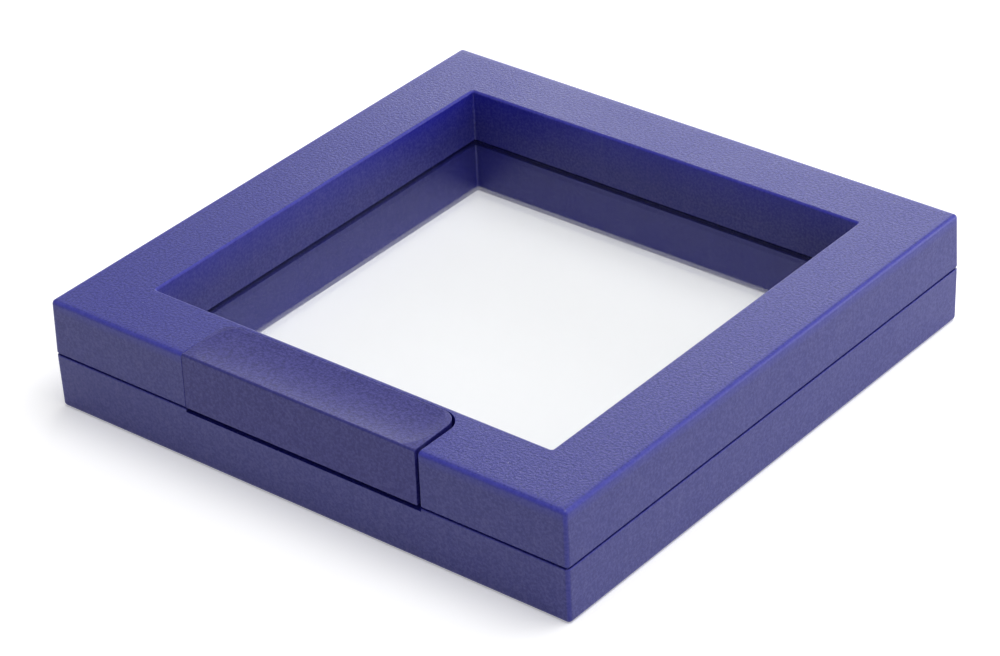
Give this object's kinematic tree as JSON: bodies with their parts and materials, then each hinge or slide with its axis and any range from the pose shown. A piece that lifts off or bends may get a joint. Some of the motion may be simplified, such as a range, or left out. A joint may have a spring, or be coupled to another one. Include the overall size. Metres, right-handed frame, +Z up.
{
  "type": "floating picture frame",
  "caption": "Square hinged display frame: two moulded halves stretch clear films that hold a small object afloat in the window; a press latch closes the front.",
  "frame": {"origin": "centre of the square outline, on the face that the frame rests on", "axes": "+X along the latch side, +Y from the latch side to the hinge side, +Z up through the window"},
  "size_m": [0.11, 0.1115, 0.0214],
  "materials": {
    "case_plastic": "moulded, fine eggshell texture",
    "clip_plastic": "moulded, smooth satin",
    "ring_plastic": "moulded, plain",
    "film": "clear elastic film",
    "steel": "bright drawn wire"
  },
  "bodies": {
    "base": {"lower_frame": "case_plastic", "lower_film_ring": "ring_plastic", "lower_film": "film", "hinge_pin_left": "steel", "hinge_pin_right": "steel"},
    "lid": {"upper_frame": "case_plastic", "upper_film_ring": "ring_plastic", "upper_film": "film", "latch_pins": "steel", "latch_springs": "steel"},
    "latch": {"latch_clip": "clip_plastic"}
  },
  "joints": [
    {"name": "lid_hinge", "type": "hinge", "parent": "base", "child": "lid", "pos_m": [0, 0.05515, 0.01055], "axis": [-1, 0, 0], "range_deg": [0, 180]},
    {"name": "latch_pivot", "type": "hinge", "parent": "lid", "child": "latch", "pos_m": [0, -0.0518, 0.0191], "axis": [-1, 0, 0], "range_deg": [0, 12], "stiffness_Nm_per_rad": 0.15, "springref_deg": -5.73, "deforming": ["latch_springs"]}
  ]
}
